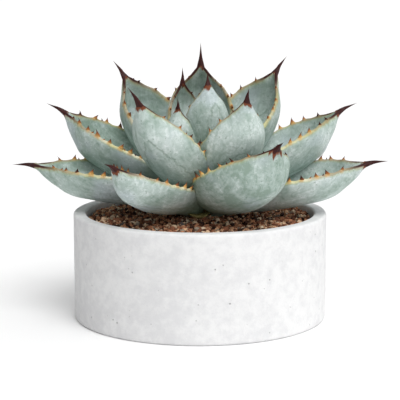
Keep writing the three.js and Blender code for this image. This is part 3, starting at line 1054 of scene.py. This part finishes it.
# %% Bud
BUD_AROUND, BUD_ROWS = 48, 70
BUD_OUTLINE = [(0, 0.3), (0.3, 1), (0.6, 0.8), (0.88, 0.3), (1, 0.06)]
WRAPPED_LEAVES, WRAP_TURNS, WRAP_STEP, WRAP_EDGE = 3, 0.7, 0.10, 0.12
BUD_SPINE = 0.11  # share of the spindle that is spine
BUD_FILL = 0.96  # its widest ring's share of the room it has
BUD_TINT = 0.3


def bud_spindle():
    low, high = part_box("bud")
    radius, height = (high.x - low.x) / 2 * BUD_FILL, high.z - low.z
    made = LeafMesh()
    for vertex, row, turn in made.sphere(BUD_AROUND, BUD_ROWS):
        up = row / BUD_ROWS
        wound = (turn / math.tau + up * WRAP_TURNS) * WRAPPED_LEAVES % 1.0
        step = smoothstep(wound, 0.0, WRAP_EDGE) * (1 - wound) * (1 - smoothstep(up, 0.8, 0.95))
        wide = along(BUD_OUTLINE, up) * radius * (1 - WRAP_STEP + WRAP_STEP * step)
        if row in (0, BUD_ROWS):
            wide = 0.0
        vertex.co = Vector((math.cos(turn) * wide, math.sin(turn) * wide, low.z + up * height))
        made.keep(
            vertex,
            blade=(math.sin(turn) * radius, up * height, BUD_TINT),
            margin=0.002 + abs(wound - WRAP_EDGE / 2) * 0.03,
            spine=(up - 1 + BUD_SPINE) * height,
            print=NO_PRINT,
            tint=BUD_TINT,
        )
    made.face_outwards()
    smoothed(made.bm)
    return made.bm


finish_piece("bud_spindle", bud_spindle(), skin_material, "bud")

# %% [markdown]
# ## The stem and its roots
#
# The stem is short and thick and ringed with the scars of shed leaves. It hardly shows between the leaves,
# but its foot does, and its roots spread in the soil. A spin makes the stem, its outline divided and
# pushed in and out for the rings. A root is a cone laid along its own path, bent ring by ring.

# %% Stem and roots
SCAR_PITCH, SCAR_DEPTH = 0.0042, 0.0007
STEM_TOP, STEM_SHOULDER, CROWN_DEPTH = 0.052, 0.026, 0.030
STEM_STEPS, STEM_ROW = 48, 0.0009
ROOTS, ROOT_LENGTH, ROOT_DROP, ROOT_RADIUS = 6, 0.062, 0.034, 0.004


def stem_and_roots():
    bm = outline_bmesh([
        (0.0, CROWN - CROWN_DEPTH, 0),
        (STEM_RADIUS * 0.55, CROWN - CROWN_DEPTH, 0.003),
        (STEM_RADIUS * 0.95, CROWN - CROWN_DEPTH / 2, 0.004),
        (STEM_RADIUS, CROWN + STEM_SHOULDER, 0.006),
        (STEM_RADIUS * 0.6, CROWN + STEM_TOP - 0.004, 0.003),
        (STEM_RADIUS * 0.35, CROWN + STEM_TOP, 0.001),
        (0.0, CROWN + STEM_TOP, 0),
    ], closed=False)
    divide_long_edges(bm, STEM_ROW)
    spin_outline(bm, STEM_STEPS)
    for vertex in bm.verts:
        outwards = Vector((vertex.co.x, vertex.co.y, 0))
        wave = math.cos(vertex.co.z / SCAR_PITCH * math.tau + math.atan2(vertex.co.y, vertex.co.x) * 2)
        if outwards.length > 0.3 * STEM_RADIUS:
            vertex.co -= outwards.normalized() * SCAR_DEPTH * (1 + wave) / 2
    for i in range(ROOTS):
        add_root(bm, i)
    smoothed(bm)
    return bm


def add_root(bm, index):
    """A tapering root from inside the crown, outwards and then down."""
    length = ROOT_LENGTH * (1 if index % 2 else 0.8)
    turn = Matrix.Rotation(index * math.tau / ROOTS, 3, "Z")
    made = bmesh.ops.create_uvsphere(bm, u_segments=10, v_segments=24, radius=1.0)["verts"]
    for vertex in made:
        out = (vertex.co.z + 1) / 2
        thick = ROOT_RADIUS * (1.1 - 0.6 * out)
        drop = CROWN_DEPTH * 0.6 + ROOT_DROP * out ** 1.8
        centre = Vector((length * (0.1 + 0.9 * out), 0, CROWN - drop))
        centre += Vector((0, 1, 1)) * noise.noise(Vector((out * 4, index, 0))) * ROOT_RADIUS
        vertex.co = turn @ (centre + Vector((0, vertex.co.x, vertex.co.y)) * thick)


def bark():
    finish = Finish("stem_bark", Specular_IOR_Level=0.3)
    fibres = finish.noise(1.0, 4.0, 0.6, at=finish.place((500.0, 500.0, 60.0)))
    patches = finish.noise(120.0, 3.0, 0.6)
    colour = finish.blend(finish.rise(fibres, 0.35, 0.7), paint(96, 84, 56), paint(162, 150, 104))
    colour = finish.blend(finish.rise(patches, 0.5, 0.75) * 0.6, colour, paint(74, 54, 38))
    rough = 0.8 + patches * 0.1
    return finish.use(Base_Color=colour, Roughness=rough, Normal=finish.bump(fibres, 0.0008, 0.8))


finish_piece("stem_with_roots", stem_and_roots(), bark(), "stem_and_roots")

# %% [markdown]
# ## Dry leaf bases
#
# Where old leaves were pulled off, their feet stay on the stem as short dry scales, straw-coloured and
# curled up at the edges. Each is a flattened sphere whose sides are lifted, and whose outer end is torn:
# noise shortens it here and there. The place of each comes from its own node in the frame.

# %% Dry scales
SCALE_LENGTH, SCALE_WIDTH, SCALE_THICKNESS = 0.032, 0.022, 0.0026
SCALE_CURL, SCALE_TEAR, SCALE_LIFT, SCALE_CRUMPLE = 0.35, 0.22, 0.0022, 0.0012


def dry_scale(node):
    low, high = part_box(node)
    centre = (low + high) / 2
    outwards = Vector((centre.x, centre.y, 0)).normalized()
    sideways = Vector((-outwards.y, outwards.x, 0))
    bm = bmesh.new()
    made = bmesh.ops.create_uvsphere(bm, u_segments=40, v_segments=20, radius=1.0)["verts"]
    for vertex in made:
        x, y, z = vertex.co
        torn = 1 + SCALE_TEAR * noise.noise(Vector((y * 3, centre.x * 90, centre.y * 90))) * max(x, 0)
        lift = SCALE_CURL * SCALE_WIDTH * y * y / 2 + SCALE_LIFT * max(x, 0) ** 2
        crumple = noise.noise(Vector((x * 2.5, y * 2.5, centre.x * 70))) * SCALE_CRUMPLE
        flat = outwards * x * torn * SCALE_LENGTH / 2 + sideways * y * SCALE_WIDTH / 2
        height = z * SCALE_THICKNESS / 2 + lift + crumple + low.z + SCALE_THICKNESS
        vertex.co = Vector((centre.x, centre.y, height)) + flat
    smoothed(bm)
    return bm


def dry_leaf():
    finish = Finish("dry_leaf", Specular_IOR_Level=0.3)
    fibres = finish.noise(1.0, 4.0, 0.6, at=finish.place((300.0, 300.0, 900.0)))
    patches = finish.noise(140.0, 3.0, 0.6)
    colour = finish.blend(finish.rise(fibres, 0.35, 0.7), paint(150, 138, 78), paint(206, 198, 138))
    colour = finish.blend(finish.rise(patches, 0.52, 0.72) * 0.7, colour, paint(110, 74, 44))
    rough = 0.7 + patches * 0.15
    return finish.use(Base_Color=colour, Roughness=rough, Normal=finish.bump(fibres, 0.0006, 0.7))


dry_material = dry_leaf()
for node in sorted(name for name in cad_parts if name.startswith("dry_leaf_base")):
    finish_piece(node + "_scale", dry_scale(node), dry_material, node)
